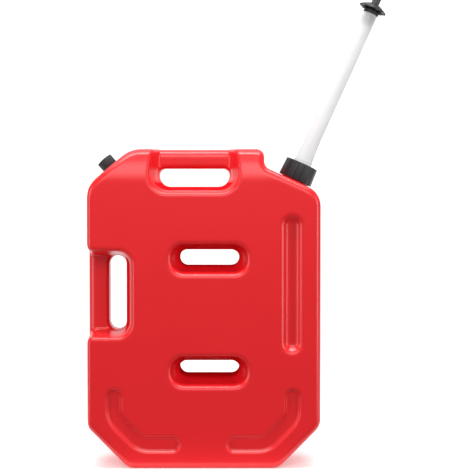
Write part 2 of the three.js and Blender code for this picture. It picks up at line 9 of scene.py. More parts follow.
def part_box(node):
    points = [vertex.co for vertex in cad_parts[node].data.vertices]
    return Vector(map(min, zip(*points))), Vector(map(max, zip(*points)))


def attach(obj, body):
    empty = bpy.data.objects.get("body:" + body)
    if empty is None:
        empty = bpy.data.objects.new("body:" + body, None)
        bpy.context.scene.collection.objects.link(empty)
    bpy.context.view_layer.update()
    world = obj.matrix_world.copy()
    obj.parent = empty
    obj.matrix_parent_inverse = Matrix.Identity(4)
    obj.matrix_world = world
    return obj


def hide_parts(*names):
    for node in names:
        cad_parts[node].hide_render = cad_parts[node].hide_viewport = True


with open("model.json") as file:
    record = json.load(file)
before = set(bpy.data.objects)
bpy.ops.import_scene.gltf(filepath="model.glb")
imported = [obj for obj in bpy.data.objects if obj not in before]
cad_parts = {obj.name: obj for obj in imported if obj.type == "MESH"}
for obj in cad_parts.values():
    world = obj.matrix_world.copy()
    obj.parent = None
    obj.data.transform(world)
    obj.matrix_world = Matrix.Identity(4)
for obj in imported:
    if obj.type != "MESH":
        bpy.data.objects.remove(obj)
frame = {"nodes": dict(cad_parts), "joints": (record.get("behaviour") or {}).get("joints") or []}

bl_info = {
    "name": "Flat fuel can",
    "version": (1, 0, 0),
    "blender": (4, 5, 0),
    "location": "3D View > Sidebar > Fuel can",
    "description": "Builds a flat upright fuel can with its spout, stopper and vent cap",
    "category": "Add Mesh",
}

MM = 0.001

# Sizes in millimetres: necks and what screws on them, slots, grooves and flutes.
NECK_BORE, NECK_ROOT, NECK_CREST, NECK_COLLAR, NECK_PITCH = 20.5, 25.4, 27.4, 26.6, 6
NUT_ROOT, NUT_CREST = 28.2, 26.2
VENT_BORE, VENT_ROOT, VENT_CREST, VENT_COLLAR, VENT_PITCH = 7, 10.6, 11.8, 12.4, 3
CAP_ROOT, CAP_CREST = 12.4, 11.2
SLOT_HEIGHTS = (184, 394.5)
UPRIGHT_HALF, UPRIGHT_DEPTH = 19, 11
CORNER_HALF, CORNER_DEPTH, CORNER_FLANK = 15.5, 6, 0.75
CAP_FLUTES = 36


# ---- Places that come from the frame ---------------------------------------------------------

def joint_named(name):
    return next(j for j in frame["joints"] if j["name"] == name)


def frame_of_joint(name):
    """The upright frame of a screwed neck: its origin on the body, its Z along the neck."""
    joint = joint_named(name)
    along = Vector(joint["axis"]).normalized()
    across = Vector((0, 1, 0)).cross(along).normalized()
    turn = Matrix((across, Vector((0, 1, 0)), along)).transposed().to_4x4()
    return Matrix.Translation(Vector(joint["pos_m"])) @ turn


POUR = frame_of_joint("nut_turn")
VENT = frame_of_joint("vent_turn")
SHELL_ZONES = ("tank_front", "tank_back", "top_grip", "side_grip", "lower_slot", "upper_slot")
SHELL_LOWS, SHELL_HIGHS = zip(*(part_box(zone) for zone in SHELL_ZONES))
TANK_LOW = Vector([min(corner[i] for corner in SHELL_LOWS) for i in range(3)])
TANK_HIGH = Vector([max(corner[i] for corner in SHELL_HIGHS) for i in range(3)])


def reach(node, place):
    """How far a node reaches along the Z of a neck's frame, in millimetres."""
    back = place.inverted()
    ends = [(back @ v.co).z for v in frame["nodes"][node].data.vertices]
    return min(ends) / MM, max(ends) / MM


def girth(node, place):
    """The largest radius of a node about the Z of a neck's frame, in millimetres."""
    back = place.inverted()
    return max((back @ v.co).xy.length for v in frame["nodes"][node].data.vertices) / MM


# ---- Sizes and colours that a user would change ----------------------------------------------

def millimetres(name, value, description):
    return bpy.props.FloatProperty(name=name, default=value, description=description + ", in mm")


def colour(name, value, description):
    return bpy.props.StringProperty(
        name=name, default=value, description=description + ", sRGB hex")


class TankSizes(bpy.types.PropertyGroup):
    """The moulded body."""

    width: millimetres("Width", (TANK_HIGH.x - TANK_LOW.x) / MM, "Left to right")
    height: millimetres("Height", (TANK_HIGH.z - TANK_LOW.z) / MM, "Base to top")
    depth: millimetres("Depth", (TANK_HIGH.y - TANK_LOW.y) / MM, "Front to back")
    cell: millimetres("Cell", 2.0, "Fineness of the moulded surface")
    edge_round: millimetres("Edge rounding", 13, "Between the big faces and the rim")
    rim_round: millimetres("Rim rounding", 6, "Where a hollow meets a big face")
    grip_depth: millimetres("Grip depth", 44, "Front to back, of both grips")
    grip_round: millimetres("Grip rounding", 15, "Edges of both grips")
    base_chamfer: millimetres("Base chamfer", 79, "Cut off both lower corners")
    vent_chamfer_x: millimetres("Vent slope width", 82, "Top left corner, along X")
    vent_chamfer_z: millimetres("Vent slope height", 72, "Top left corner, along Z")
    step_width: millimetres("Ledge width", 105.5, "Low ledge of the pour neck")
    step_drop: millimetres("Ledge drop", 34, "From the top down to the ledge")
    shoulder: millimetres("Shoulder height", 41, "Part of the top where the faces lean in")
    setback: millimetres("Shoulder setback", 17, "How far the faces lean in at the top")
    red: colour("Red", "#DE161E", "Body")


class SpoutSizes(bpy.types.PropertyGroup):
    """The ring nut, the spout and the stopper."""

    nut_flats: bpy.props.IntProperty(
        name="Nut flats", default=16, description="Broad flats round the ring nut")
    nut_groove: millimetres("Nut groove", 1.5, "Depth of the grooves between the flats")
    wall: millimetres("Spout wall", 2, "Thickness of the spout")
    taper: millimetres("Spout taper", 52, "Length over which the foot narrows")
    lobes: bpy.props.IntProperty(
        name="Wheel lobes", default=8, description="Lobes round the stopper's wheel")
    black: colour("Black", "#1B1A1C", "Ring nut, stopper and vent cap")
    natural: colour("Natural", "#F5F5F6", "Spout")


class StageSettings(bpy.types.PropertyGroup):
    """The studio."""

    distance: bpy.props.FloatProperty(
        name="Camera distance", default=2.402, unit="LENGTH",
        description="From the can's middle plane")
    side: bpy.props.FloatProperty(
        name="Camera side", default=0.0532, unit="LENGTH", description="Camera's place along X")
    height: bpy.props.FloatProperty(
        name="Camera height", default=0.487, unit="LENGTH", description="Camera's place along Z")
    lens: bpy.props.FloatProperty(
        name="Lens", default=95.6, unit="CAMERA", description="Focal length")
    room: bpy.props.FloatProperty(
        name="Room light", default=0.3, description="Even light from all sides")
    overhead: bpy.props.FloatProperty(
        name="Overhead", default=40, unit="POWER", description="Box above the can")
    front: bpy.props.FloatProperty(
        name="Front", default=40, unit="POWER", description="Box high in front")
    table_glow: bpy.props.FloatProperty(
        name="Table glow", default=0.22, description="Light through the paper")
    side_boxes: bpy.props.FloatProperty(
        name="Side boxes", default=14, unit="POWER", description="Each box in front")
    paper: bpy.props.FloatProperty(
        name="Paper light", default=62, unit="POWER", description="Light on the paper")


# ---- Small helpers ---------------------------------------------------------------------------

def linear(hex_colour):
    """An sRGB hex colour as linear red, green, blue and alpha."""
    parts = [int(hex_colour[i:i + 2], 16) / 255 for i in (1, 3, 5)]
    return [c / 12.92 if c <= 0.04045 else ((c + 0.055) / 1.055) ** 2.4 for c in parts] + [1.0]


def node(tree, kind, inputs=None, **settings):
    """Adds a node, sets its properties, and sets or links its inputs."""
    made = tree.nodes.new(kind)
    for key, value in settings.items():
        setattr(made, key, value)
    for key, value in (inputs or {}).items():
        if isinstance(value, bpy.types.NodeSocket):
            tree.links.new(value, made.inputs[key])
        else:
            made.inputs[key].default_value = value
    return made


def material(name):
    """A new node material, with its tree, principled shader and object coordinates."""
    made = bpy.data.materials.new(name)
    made.use_nodes = True
    tree = made.node_tree
    shader = tree.nodes["Principled BSDF"]
    place = node(tree, "ShaderNodeTexCoord").outputs["Object"]
    return made, tree, shader, place


def show(name, points, faces, body, finish, slot, place=Matrix()):
    """Makes a smooth-shaded object from points in millimetres and sets it on its body."""
    mesh = bpy.data.meshes.new(name)
    mesh.from_pydata([place @ (Vector(p) * MM) for p in points], [], faces)
    mesh.validate()
    mesh.shade_smooth()
    piece = bpy.data.objects.new(name, mesh)
    bpy.context.scene.collection.objects.link(piece)
    mesh.materials.append(finish)
    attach(piece, body)
    return piece


# ---- Turned shapes ---------------------------------------------------------------------------

def turned(profile, sides=96, shape=None):
    """Turns a closed anticlockwise profile of [radius, height] about Z.

    shape(angle, index, radius) may change a point's radius."""
    points, faces = [], []
    count = len(profile)
    for step in range(sides):
        angle = 2 * math.pi * step / sides
        for index, (radius, height) in enumerate(profile):
            r = shape(angle, index, radius) if shape else radius
            points.append((r * math.cos(angle), r * math.sin(angle), height))
    for step in range(sides):
        for index in range(count):
            here, there = step * count, (step + 1) % sides * count
            after = (index + 1) % count
            faces.append((here + index, there + index, there + after, here + after))
    return points, faces


def eased(profile, radius, steps=4):
    """Rounds the corners of a closed profile. Each point is (r, z) or (r, z, its own rounding)."""
    rounded = []
    count = len(profile)
    for i, corner in enumerate(profile):
        here = Vector(corner[:2])
        before, after = Vector(profile[i - 1][:2]), Vector(profile[(i + 1) % count][:2])
        size = corner[2] if len(corner) > 2 else radius
        size = min(size, (here - before).length * 0.45, (after - here).length * 0.45)
        start = here + (before - here).normalized() * size
        end = here + (after - here).normalized() * size
        if size < 0.02:
            rounded.append(here)
            continue
        for k in range(steps + 1):
            t = k / steps
            rounded.append(start * (1 - t) ** 2 + here * 2 * t * (1 - t) + end * t ** 2)
    return [(p.x, p.y) for p in rounded]


def thread(foot, tip, pitch, start, turns, steps=64):
    """A right-handed ridge with soft flanks, which fades in and out at its ends."""
    points, faces = [], []
    total = round(turns * steps)
    sunk = foot + (0.6 if tip < foot else -0.6)
    for k in range(total + 1):
        angle = 2 * math.pi * k / steps
        rise = start + pitch * k / steps
        fade = min(1, k / (steps * 0.12), (total - k) / (steps * 0.12))
        crest = foot + (tip - foot) * fade
        for radius, offset in ((sunk, -0.27), (crest, -0.1), (crest, 0.1), (sunk, 0.27)):
            height = rise + pitch * offset
            points.append((radius * math.cos(angle), radius * math.sin(angle), height))
    for k in range(total):
        for i in range(4):
            a, b = k * 4 + i, k * 4 + (i + 1) % 4
            quad = (a, a + 4, b + 4, b)
            faces.append(quad if tip > foot else quad[::-1])
    return points, faces


def together(*shapes):
    """Several (points, faces) as one."""
    points, faces = [], []
    for some_points, some_faces in shapes:
        first = len(points)
        points += some_points
        faces += [tuple(first + i for i in face) for face in some_faces]
    return points, faces


# ---- Fields of distance, negative inside, in millimetres -------------------------------------

def rounded_cut(a, b, radius):
    """The part of a inside b, with the new edge rounded."""
    corner = np.hypot(np.maximum(a + radius, 0), np.maximum(b + radius, 0))
    return np.minimum(-radius, np.maximum(a, b)) + corner


def rounded_join(a, b, radius):
    """a and b together, with a fillet where they meet."""
    return -rounded_cut(-a, -b, radius)


def soft_ramp(value, softness):
    """Rises from 0 with slope 1, with a soft bend."""
    return 0.5 * (value + np.sqrt(value * value + softness * softness))


def arc_corners(corners, steps=10):
    """The points of an anticlockwise outline whose corners are [x, z, radius]."""
    points = []
    count = len(corners)
    for i in range(count):
        here = Vector(corners[i][:2])
        before = (here - Vector(corners[i - 1][:2])).normalized()
        after = (Vector(corners[(i + 1) % count][:2]) - here).normalized()
        turn = math.atan2(before.x * after.y - before.y * after.x, before.dot(after))
        radius = corners[i][2]
        start = here - before * radius * abs(math.tan(turn / 2))
        inward = Vector((-before.y, before.x)) * math.copysign(1, turn)
        centre = start + inward * radius
        for k in range(steps + 1):
            points.append(centre + Matrix.Rotation(turn * k / steps, 2) @ (start - centre))
    return points


def distance_to_path(path, x, z):
    """Distance to an open line of points."""
    nearest = np.full(x.shape, 1e9)
    for a, b in zip(path[:-1], path[1:]):
        run = b - a
        along = ((x - a.x) * run.x + (z - a.y) * run.y) / run.length_squared
        along = np.clip(along, 0, 1)
        nearest = np.minimum(nearest, np.hypot(x - a.x - along * run.x, z - a.y - along * run.y))
    return nearest


def outline_field(points, x, z):
    """Distance to a closed outline, negative inside."""
    inside = np.zeros(x.shape, bool)
    for a, b in zip(points, points[1:] + points[:1]):
        if a.y == b.y:
            continue
        crossing = (b.x - a.x) * (z - a.y) / (b.y - a.y) + a.x
        inside ^= ((a.y > z) != (b.y > z)) & (x < crossing)
    gap = distance_to_path(points + points[:1], x, z)
    return np.where(inside, -gap, gap)


def surface_net(field, corner, cell):
    """Quads on the zero surface of a block of distances."""
    inside = field < 0
    size = np.array(field.shape) - 1
    filled = np.zeros(size, np.int8)
    for i, j, k in np.ndindex(2, 2, 2):
        filled += inside[i:i + size[0], j:j + size[1], k:k + size[2]]
    cells = np.argwhere((filled > 0) & (filled < 8))
    number = np.full(size, -1)
    number[tuple(cells.T)] = np.arange(len(cells))
    total, hits = np.zeros((len(cells), 3)), np.zeros(len(cells))
    for axis in range(3):
        for i, j in np.ndindex(2, 2):
            offset = np.insert([i, j], axis, 0)
            step = np.eye(3, dtype=int)[axis]
            low = field[tuple((cells + offset).T)]
            high = field[tuple((cells + offset + step).T)]
            cut = (low < 0) != (high < 0)
            share = low[cut] / (low[cut] - high[cut])
            total[cut] += offset + share[:, None] * step
            hits[cut] += 1
    points = corner + cell * (cells + total / hits[:, None])
    quads = []
    for axis in range(3):
        u, v = np.eye(3, dtype=int)[(axis + 1) % 3], np.eye(3, dtype=int)[(axis + 2) % 3]
        low, high = np.moveaxis(inside, axis, 0)[:-1], np.moveaxis(inside, axis, 0)[1:]
        edges = np.argwhere(np.moveaxis(low != high, 0, axis))
        edges = edges[np.all((edges >= u + v) & (edges < size), axis=1)]
        outward = inside[tuple(edges.T)]
        ring = [number[tuple((edges - shift).T)] for shift in (u + v, v, 0 * u, u)]
        quad = np.stack(ring, axis=1)
        quads.append(np.where(outward[:, None], quad, quad[:, ::-1]))
    return points, np.concatenate(quads)


# ---- The moulded body ------------------------------------------------------------------------

def tank_outlines(sizes, x, z):
    """The plane fields of the body that don't change from front to back."""
    half, high = sizes.width / 2, sizes.height
    step_x, ledge = half - sizes.step_width, high - sizes.step_drop
    neck = joint_named("nut_turn")["axis"]
    slope = math.tan(math.atan2(neck[0], neck[2]))
    base = sizes.base_chamfer
    rim = arc_corners([
        [-half + base, 0, 30], [half - base, 0, 30], [half, base, 30],
        [half, ledge - sizes.step_width * slope, 40], [step_x, ledge, 16], [step_x, high, 15],
        [-half + sizes.vent_chamfer_x, high, 55], [-half, high - sizes.vent_chamfer_z, 55],
        [-half, base, 30],
    ])
    return outline_field(rim, x, z)


def box_outline(left, right, low, high, lower, upper, x, z):
    corners = [[left, low, lower], [right, low, lower], [right, high, upper], [left, high, upper]]
    return outline_field(arc_corners(corners), x, z)


def funnel(throat, mouth, y, throat_half, mouth_half):
    """A hollow whose outline opens from a throat to a mouth."""
    share = soft_ramp(y - throat_half, 6) / (mouth_half - throat_half)
    return throat + (mouth - throat) * share


def top_grip_fields(sizes, x, z):
    """Throat, mouth, slab and finger hole of the top grip."""
    left, right, hole_top = -85, 49, sizes.height - 36
    low, far = hole_top - 34.5, sizes.height + 200
    return (
        box_outline(left, right, low, far, 21, 1, x, z),
        box_outline(left - 18, right + 18, low - 12, far, 36, 1, x, z),
        box_outline(left - 22, right + 22, low - 22, sizes.height, 15, 15, x, z),
        box_outline(left, right, low, hole_top, 21, 12, x, z),
    )


def side_grip_fields(sizes, x, z):
    """The same for the grip on the left side."""
    low, high = 257, 398.5
    hole_left = -sizes.width / 2 + 39
    hole_right, far = hole_left + 33, -sizes.width / 2 - 200
    end = 16.3
    throat = box_outline(far, hole_right, low, high, end, end, x, z)
    mouth = box_outline(far, hole_right + 14.5, low - 10, high + 10, 28, 28, x, z)
    outside = x + sizes.width / 2
    return (
        rounded_join(throat, outside, 14),
        rounded_join(mouth, outside, 14),
        box_outline(-sizes.width / 2, hole_right + 22, low - 22, high + 22, 15, 15, x, z),
        box_outline(hole_left, hole_right, low, high, end, end, x, z),
    )


def slot_fields(height, x, z):
    """Throat and mouth of a bracket slot."""
    left, right, low, high = -46.5, 67.5, height - 15.5, height + 15.5
    return (
        box_outline(left, right, low, high, 15.3, 15.3, x, z),
        box_outline(left - 15, right + 15, low - 14, high + 11, 25, 25, x, z),
    )


def corner_groove_path(side):
    """The middle line of a corner groove, with its two bends as arcs."""
    stops = [Vector((side * 167.5, 135)), Vector((side * 167.5, 96)),
             Vector((side * 117.5, 46)), Vector((side * 57.5, 46))]
    path = [stops[0]]
    for before, here, after in zip(stops[:-2], stops[1:-1], stops[2:]):
        start = here + (before - here).normalized() * 16
        end = here + (after - here).normalized() * 16
        for k in range(9):
            t = k / 8
            path.append(start * (1 - t) ** 2 + here * 2 * t * (1 - t) + end * t ** 2)
    return path + [stops[-1]]


def neck_field(place, x, y, z):
    """Radius from a neck's axis and height along it, for every point of a slice."""
    back = place.inverted()
    shift = back.translation / MM
    across = back[0][0] * x + back[0][2] * z + shift.x
    along = back[2][0] * x + back[2][2] * z + shift.z
    return np.hypot(across, y), along


def tank_field(sizes):
    """The body as a block of distances, ordered Y, X, Z, with the corner of the block."""
    cell = sizes.cell
    xs = np.arange(-sizes.width / 2 - 2 * cell, sizes.width / 2 + 3 * cell, cell)
    zs = np.arange(-2.3 * cell, sizes.height + 3 * cell, cell)
    ys = np.arange(0, sizes.depth / 2 + 3 * cell, cell)
    x, z = np.meshgrid(xs, zs, indexing="ij")
    half = sizes.depth / 2
    outline = tank_outlines(sizes, x, z)
    grips = [top_grip_fields(sizes, x, z), side_grip_fields(sizes, x, z)]
    slots = [slot_fields(height, x, z) for height in SLOT_HEIGHTS]
    upright = distance_to_path([Vector((166, 236.5)), Vector((166, 456.5))], x, z)
    corners = [distance_to_path(corner_groove_path(side), x, z) for side in (-1, 1)]
    lean = Vector((sizes.shoulder, sizes.setback)).normalized()
    slices = []
    for y in ys:
        shoulder = (y - half) * lean.x + (z - sizes.height + sizes.shoulder) * lean.y
        face = rounded_cut(np.full(x.shape, y - half), shoulder, 8)
        body = rounded_cut(outline, face, sizes.edge_round)
        for throat, mouth, slab, hole in grips:
            hollow = funnel(throat, mouth, y, sizes.grip_depth / 2, half - 3)
            body = rounded_cut(body, -hollow, sizes.rim_round)
            grip = rounded_cut(slab, np.full(x.shape, y - sizes.grip_depth / 2), sizes.grip_round)
            body = rounded_join(body, grip, 5)
            body = rounded_cut(body, -hole, 8)
        for throat, mouth in slots:
            body = rounded_cut(body, -funnel(throat, mouth, y, 40, half - 3), sizes.rim_round)
        under = half - y
        wall = (upright - UPRIGHT_HALF + under) / math.sqrt(2)
        floor = np.full(x.shape, under - UPRIGHT_DEPTH)
        body = rounded_cut(body, -rounded_cut(wall, floor, 3), 3.5)
        for middle in corners:
            wall = (middle - CORNER_HALF + under * CORNER_FLANK) / math.hypot(1, CORNER_FLANK)
            floor = np.full(x.shape, under - CORNER_DEPTH)
            body = rounded_cut(body, -rounded_cut(wall, floor, 1.5), 2)
        for place, root, bore in ((POUR, NECK_COLLAR, NECK_BORE), (VENT, VENT_COLLAR, VENT_BORE)):
            radius, along = neck_field(place, x, y, z)
            collar = np.maximum(np.maximum(radius - root, along - 3.2), -along - 20)
            body = rounded_join(body, collar, 2.5)
            body = np.maximum(body, np.minimum(bore - radius, along + 40))
        slices.append(body)
    near = np.stack(slices)
    block = np.concatenate([near[:0:-1], near])
    return block, np.array([-ys[-1], xs[0], zs[0]])


def red_polyethylene(sizes):
    """Rotationally moulded polyethylene: satin, faintly dimpled, even in colour, with a fine seam
    where the halves of the mould met."""
    finish, tree, shader, place = material("Rotomoulded red polyethylene")
    mottle = node(tree, "ShaderNodeTexNoise", {"Vector": place, "Scale": 14, "Detail": 4})
    shade = [c * 0.93 for c in linear(sizes.red)[:3]] + [1.0]
    tone = node(tree, "ShaderNodeMix", {
        "Factor": mottle.outputs["Fac"], "A": shade, "B": linear(sizes.red)}, data_type="RGBA")
    tree.links.new(tone.outputs["Result"], shader.inputs["Base Color"])
    gloss = node(tree, "ShaderNodeMapRange", {
        "Value": mottle.outputs["Fac"], "To Min": 0.3, "To Max": 0.33})
    tree.links.new(gloss.outputs["Result"], shader.inputs["Roughness"])
    # Dimples about 4 mm apart, left by the powder as it melts.
    dimples = node(tree, "ShaderNodeTexNoise", {"Vector": place, "Scale": 250, "Detail": 2})
    across = node(tree, "ShaderNodeSeparateXYZ", {"Vector": place})
    off_seam = node(tree, "ShaderNodeMath", {0: across.outputs["Y"]}, operation="ABSOLUTE")
    seam = node(tree, "ShaderNodeMapRange", {
        "Value": off_seam.outputs["Value"], "From Min": 0.0004, "From Max": 0.0014,
        "To Min": 1.0, "To Max": 0.0}, interpolation_type="SMOOTHSTEP")
    seam_bump = node(tree, "ShaderNodeBump", {
        "Height": seam.outputs["Result"], "Strength": 0.5, "Distance": 0.0004})
    bump = node(tree, "ShaderNodeBump", {
        "Height": dimples.outputs["Fac"], "Strength": 0.25, "Distance": 0.0003,
        "Normal": seam_bump.outputs["Normal"]})
    tree.links.new(bump.outputs["Normal"], shader.inputs["Normal"])
    shader.inputs["IOR"].default_value = 1.52
    # The walls inside the grips and slots are kept dull, so that no light shows as bands on them.
    dull = None
    for axis, middle, inside in (("X", 0, 0.155), ("Y", 0, 0.06), ("Z", 0.3, 0.245)):
        offset = node(
            tree, "ShaderNodeMath", {0: across.outputs[axis], 1: middle}, operation="SUBTRACT")
        away = node(tree, "ShaderNodeMath", {0: offset.outputs["Value"]}, operation="ABSOLUTE")
        within = node(tree, "ShaderNodeMapRange", {
            "Value": away.outputs["Value"], "From Min": inside - 0.008, "From Max": inside,
            "To Min": 1.0, "To Max": 0.0})
        if dull is None:
            dull = within.outputs["Result"]
        else:
            both = node(
                tree, "ShaderNodeMath", {0: dull, 1: within.outputs["Result"]}, operation="MULTIPLY")
            dull = both.outputs["Value"]
    gleam = node(tree, "ShaderNodeMapRange", {"Value": dull, "To Min": 0.5, "To Max": 0.0})
    tree.links.new(gleam.outputs["Result"], shader.inputs["Specular IOR Level"])
    return finish


def black_polypropylene(sizes):
    """Injection-moulded polypropylene with a fine spark-eroded grain, so its highlights are wide
    and grey."""
    finish, tree, shader, place = material("Moulded black polypropylene")
    grain = node(tree, "ShaderNodeTexNoise", {"Vector": place, "Scale": 900, "Detail": 3})
    patches = node(tree, "ShaderNodeTexNoise", {"Vector": place, "Scale": 60, "Detail": 3})
    gloss = node(tree, "ShaderNodeMapRange", {
        "Value": patches.outputs["Fac"], "To Min": 0.26, "To Max": 0.38})
    tree.links.new(gloss.outputs["Result"], shader.inputs["Roughness"])
    worn = node(tree, "ShaderNodeMapRange", {
        "Value": node(tree, "ShaderNodeNewGeometry").outputs["Pointiness"],
        "From Min": 0.52, "From Max": 0.62})
    pale = [c * 2.2 for c in linear(sizes.black)[:3]] + [1.0]
    tone = node(tree, "ShaderNodeMix", {"Factor": worn.outputs["Result"]}, data_type="RGBA")
    tone.inputs["A"].default_value = linear(sizes.black)
    tone.inputs["B"].default_value = pale
    tree.links.new(tone.outputs["Result"], shader.inputs["Base Color"])
    bump = node(tree, "ShaderNodeBump", {
        "Height": grain.outputs["Fac"], "Strength": 0.3, "Distance": 0.0001})
    tree.links.new(bump.outputs["Normal"], shader.inputs["Normal"])
    shader.inputs["IOR"].default_value = 1.49
    return finish


def natural_polyethylene(sizes):
    """Unpigmented low-density polyethylene: milky, lets light through without a clear view, with
    faint streaks along the tube from its drawing."""
    finish, tree, shader, place = material("Natural polyethylene, translucent")
    finish.surface_render_method = "BLENDED"
    shader.inputs["Base Color"].default_value = linear(sizes.natural)
    shader.inputs["Transmission Weight"].default_value = 0.68
    shader.inputs["IOR"].default_value = 1.2
    shader.inputs["Specular IOR Level"].default_value = 0.6
    stretched = node(tree, "ShaderNodeMapping", {"Vector": place, "Scale": (1, 1, 0.05)})
    streaks = node(tree, "ShaderNodeTexNoise", {
        "Vector": stretched.outputs["Vector"], "Scale": 180, "Detail": 3})
    gloss = node(tree, "ShaderNodeMapRange", {
        "Value": streaks.outputs["Fac"], "To Min": 0.28, "To Max": 0.5})
    tree.links.new(gloss.outputs["Result"], shader.inputs["Roughness"])
    bump = node(tree, "ShaderNodeBump", {
        "Height": streaks.outputs["Fac"], "Strength": 0.25, "Distance": 0.0005})
    tree.links.new(bump.outputs["Normal"], shader.inputs["Normal"])
    return finish


def seal_rubber():
    """Nitrile rubber: matt, with a faint bloom."""
    finish, tree, shader, place = material("Nitrile rubber")
    bloom = node(tree, "ShaderNodeTexNoise", {"Vector": place, "Scale": 120, "Detail": 4})
    tone = node(tree, "ShaderNodeMix", {"Factor": bloom.outputs["Fac"]}, data_type="RGBA")
    tone.inputs["A"].default_value = linear("#141414")
    tone.inputs["B"].default_value = linear("#242322")
    tree.links.new(tone.outputs["Result"], shader.inputs["Base Color"])
    gloss = node(tree, "ShaderNodeMapRange", {
        "Value": bloom.outputs["Fac"], "To Min": 0.7, "To Max": 0.85})
    tree.links.new(gloss.outputs["Result"], shader.inputs["Roughness"])
    return finish


def make_rubber(seal):
    """Gives a seal of the frame the look of rubber."""
    materials = frame["nodes"][seal].data.materials
    materials.clear()
    materials.append(seal_rubber())


class MouldTank(bpy.types.Operator):
    """Mould the body with its grips, slots, grooves and threaded necks"""

    bl_idname = "fuel_can.mould_tank"
    bl_label = "Mould the tank"

    def execute(self, context):
        sizes = context.scene.fuel_can_tank
        field, corner = tank_field(sizes)
        points, quads = surface_net(field, corner, sizes.cell)
        points = points[:, [1, 0, 2]]
        points[:, 2] = np.maximum(points[:, 2], 0)
        quads = quads[:, ::-1]
        finish = red_polyethylene(sizes)
        shell = show(
            "tank_moulding", points.tolist(), quads.tolist(), "can", finish, "red_polyethylene")
        soften = shell.modifiers.new("Even surface", "SMOOTH")
        soften.factor = 0.5
        soften.iterations = 1
        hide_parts(*SHELL_ZONES)
        pour = together(
            turned(eased(
                [(NECK_BORE, -12), (NECK_ROOT, -12), (NECK_ROOT, 28), (NECK_BORE, 28)], 0.8)),
            thread(NECK_ROOT, NECK_CREST, NECK_PITCH, 10, 2.3),
        )
        neck = show("pour_neck_thread", *pour, "can", finish, "red_polyethylene", POUR)
        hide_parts("pour_neck")
        small = together(
            turned(eased(
                [(VENT_BORE, -8), (VENT_ROOT, -8), (VENT_ROOT, 18), (VENT_BORE, 18)], 0.6)),
            thread(VENT_ROOT, VENT_CREST, VENT_PITCH, 7.5, 2.4),
        )
        vent = show("vent_neck_thread", *small, "can", finish, "red_polyethylene", VENT)
        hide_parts("vent_neck")
        return {"FINISHED"}


# ---- The nut, the spout and the stopper ------------------------------------------------------

class FitRingNut(bpy.types.Operator):
    """Fit the ribbed ring nut that clamps the spout"""

    bl_idname = "fuel_can.fit_ring_nut"
    bl_label = "Fit the ring nut"

    def execute(self, context):
        sizes = context.scene.fuel_can_spout
        low, high = reach("ring_nut", POUR)
        radius = girth("ring_nut", POUR)
        profile = eased([
            (NUT_ROOT, low), (radius, low, 1.0), (radius - 1.6, high, 1.4),
            (18, high, 0.6), (18, high - 4), (NUT_ROOT, high - 4),
        ], 0.4)

        def flats(angle, index, r):
            if r < radius * 0.9:
                return r
            turn = (angle * sizes.nut_flats / (2 * math.pi)) % 1
            near = abs(turn - 0.5)
            groove = math.exp(-(near / 0.06) ** 2) * sizes.nut_groove
            ridge = math.exp(-((near - 0.13) / 0.05) ** 2) * 0.45
            return r - 0.45 + ridge - groove

        body = together(turned(profile, 320, flats), thread(NUT_ROOT, NUT_CREST, NECK_PITCH, 7, 2))
        nut = show(
            "nut_shell", *body, "nut", black_polypropylene(sizes), "black_polypropylene", POUR)
        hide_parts("ring_nut")
        return {"FINISHED"}


class FitSpout(bpy.types.Operator):
    """Fit the translucent spout and its gasket"""

    bl_idname = "fuel_can.fit_spout"
    bl_label = "Fit the spout"

    def execute(self, context):
        sizes = context.scene.fuel_can_spout
        low, tip = reach("spout_tube", POUR)
        nut_top = reach("ring_nut", POUR)[1]
        flange = girth("spout_tube", POUR)
        foot, middle, end = 17.4, 14.4, 13.9
        wall = sizes.wall
        taper = nut_top + sizes.taper
        profile = eased([
            (foot - wall, low), (flange, low), (flange, low + 3), (foot, low + 3, 1),
            (foot, nut_top + 3), (foot + 0.5, nut_top + 5, 0.6), (foot + 0.5, nut_top + 6, 0.6),
            (foot - 0.5, nut_top + 7.5, 1), (middle, taper, 14), (end, tip), (end - wall, tip),
            (middle - wall, taper, 14), (foot - wall, nut_top, 4),
        ], 0.6, 5)
        tube = show(
            "spout", *turned(profile, 96), "spout", natural_polyethylene(sizes),
            "natural_polyethylene", POUR)
        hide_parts("spout_tube")
        make_rubber("pour_gasket")
        return {"FINISHED"}


